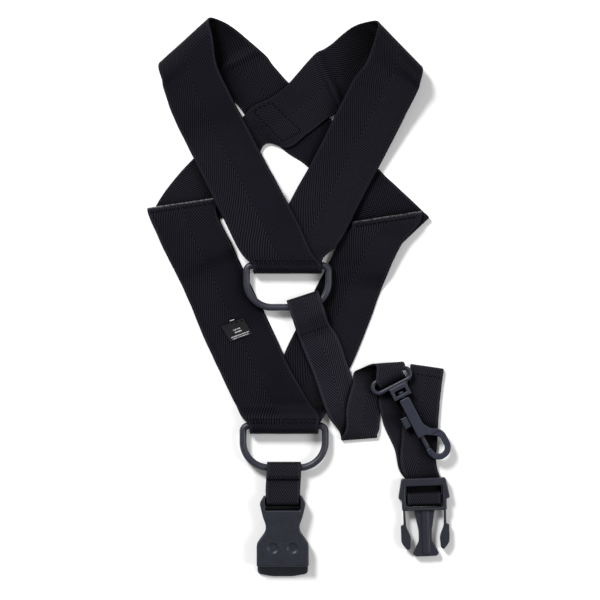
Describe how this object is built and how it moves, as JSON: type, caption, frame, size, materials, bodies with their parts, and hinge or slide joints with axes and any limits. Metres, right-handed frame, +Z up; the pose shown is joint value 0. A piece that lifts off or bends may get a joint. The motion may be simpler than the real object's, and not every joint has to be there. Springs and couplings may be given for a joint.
{
  "type": "instrument harness strap",
  "caption": "Black webbing harness with crossed shoulder straps, D-rings, a tether with a swivel snap hook, and a side-release buckle shown open.",
  "frame": {"origin": "middle of the outline on the surface that the harness lies on", "axes": "+Y from the buckle end towards the shoulders, +X towards the hook, +Z up from the surface"},
  "size_m": [0.2182, 0.402, 0.0176],
  "materials": {
    "webbing_wide": "black herringbone webbing",
    "webbing_narrow": "black herringbone webbing, narrower weave",
    "sewing_thread": "black polyester thread",
    "label_satin": "black satin ribbon",
    "ring_plastic": "matte slate plastic",
    "hook_plastic": "matte slate plastic",
    "buckle_plastic": "matte slate plastic",
    "spring_steel": "drawn wire"
  },
  "bodies": {
    "harness": {"left_shoulder_strap": "webbing_wide", "right_shoulder_strap": "webbing_wide", "size_label": "label_satin", "upper_ring_stitches": "sewing_thread", "lower_ring_stitches": "sewing_thread", "back_cross_stitches": "sewing_thread", "label_stitches": "sewing_thread", "left_side_stitches": "sewing_thread", "right_side_stitches": "sewing_thread"},
    "upper_ring": {"upper_d_ring": "ring_plastic"},
    "tether": {"tether_strap": "webbing_narrow", "tether_loop_stitches": "sewing_thread", "tether_hem_stitches": "sewing_thread"},
    "snap_eye": {"snap_swivel_eye": "hook_plastic"},
    "snap_hook": {"snap_hook_body": "hook_plastic", "snap_gate_spring": "spring_steel"},
    "snap_gate": {"snap_gate_plunger": "hook_plastic"},
    "plug": {"buckle_plug_frame": "buckle_plastic"},
    "left_prong": {"buckle_left_prong": "buckle_plastic"},
    "right_prong": {"buckle_right_prong": "buckle_plastic"},
    "lower_ring": {"lower_d_ring": "ring_plastic"},
    "link_web": {"socket_link_web": "webbing_narrow", "link_web_stitches": "sewing_thread"},
    "socket": {"buckle_socket": "buckle_plastic"}
  },
  "joints": [
    {"name": "upper_ring_swing", "type": "hinge", "parent": "harness", "child": "upper_ring", "pos_m": [-0.008, 0.0225, 0.0059], "axis": [-1, 0, 0], "range_deg": [0, 70]},
    {"name": "tether_swing", "type": "hinge", "parent": "upper_ring", "child": "tether", "pos_m": [0.0038, -0.00275, 0.0059], "axis": [-0.9507, -0.31, 0], "range_deg": [0, 45], "deforming": ["tether_strap"]},
    {"name": "snap_eye_tip", "type": "hinge", "parent": "tether", "child": "snap_eye", "pos_m": [0.06459, -0.0563, 0.007], "axis": [-0.8878, -0.4602, 0], "range_deg": [0, 25]},
    {"name": "hook_swivel", "type": "hinge", "parent": "snap_eye", "child": "snap_hook", "pos_m": [0.0755, -0.073, 0.007], "axis": [0.4602, -0.8878, 0], "continuous": true},
    {"name": "thumb_slide", "type": "slide", "parent": "snap_hook", "child": "snap_gate", "axis": [-0.4602, 0.8878, 0], "range_m": [0, 0.008], "stiffness_N_per_m": 60, "springref_m": -0.002, "deforming": ["snap_gate_spring"]},
    {"name": "adjuster_tilt", "type": "hinge", "parent": "tether", "child": "plug", "pos_m": [0.09002, -0.14499, 0.00335], "axis": [-0.9994, -0.0349, 0], "range_deg": [0, 25]},
    {"name": "left_prong_flex", "type": "hinge", "parent": "plug", "child": "left_prong", "pos_m": [0.07562, -0.1538, 0.004], "axis": [0, 0, 1], "range_deg": [0, 5], "stiffness_Nm_per_rad": 0.2},
    {"name": "right_prong_flex", "type": "hinge", "parent": "plug", "child": "right_prong", "pos_m": [0.105, -0.15277, 0.004], "axis": [0, 0, -1], "range_deg": [0, 5], "stiffness_Nm_per_rad": 0.2},
    {"name": "lower_ring_swing", "type": "hinge", "parent": "harness", "child": "lower_ring", "pos_m": [-0.0105, -0.0925, 0.0059], "axis": [-1, 0, 0], "range_deg": [0, 70]},
    {"name": "link_web_swing", "type": "hinge", "parent": "lower_ring", "child": "link_web", "pos_m": [-0.0105, -0.1225, 0.0059], "axis": [-1, 0, 0], "range_deg": [0, 60], "deforming": ["socket_link_web"]},
    {"name": "socket_tilt", "type": "hinge", "parent": "link_web", "child": "socket", "pos_m": [-0.0115, -0.147, 0.0052], "axis": [-1, 0, 0], "range_deg": [0, 45]}
  ]
}
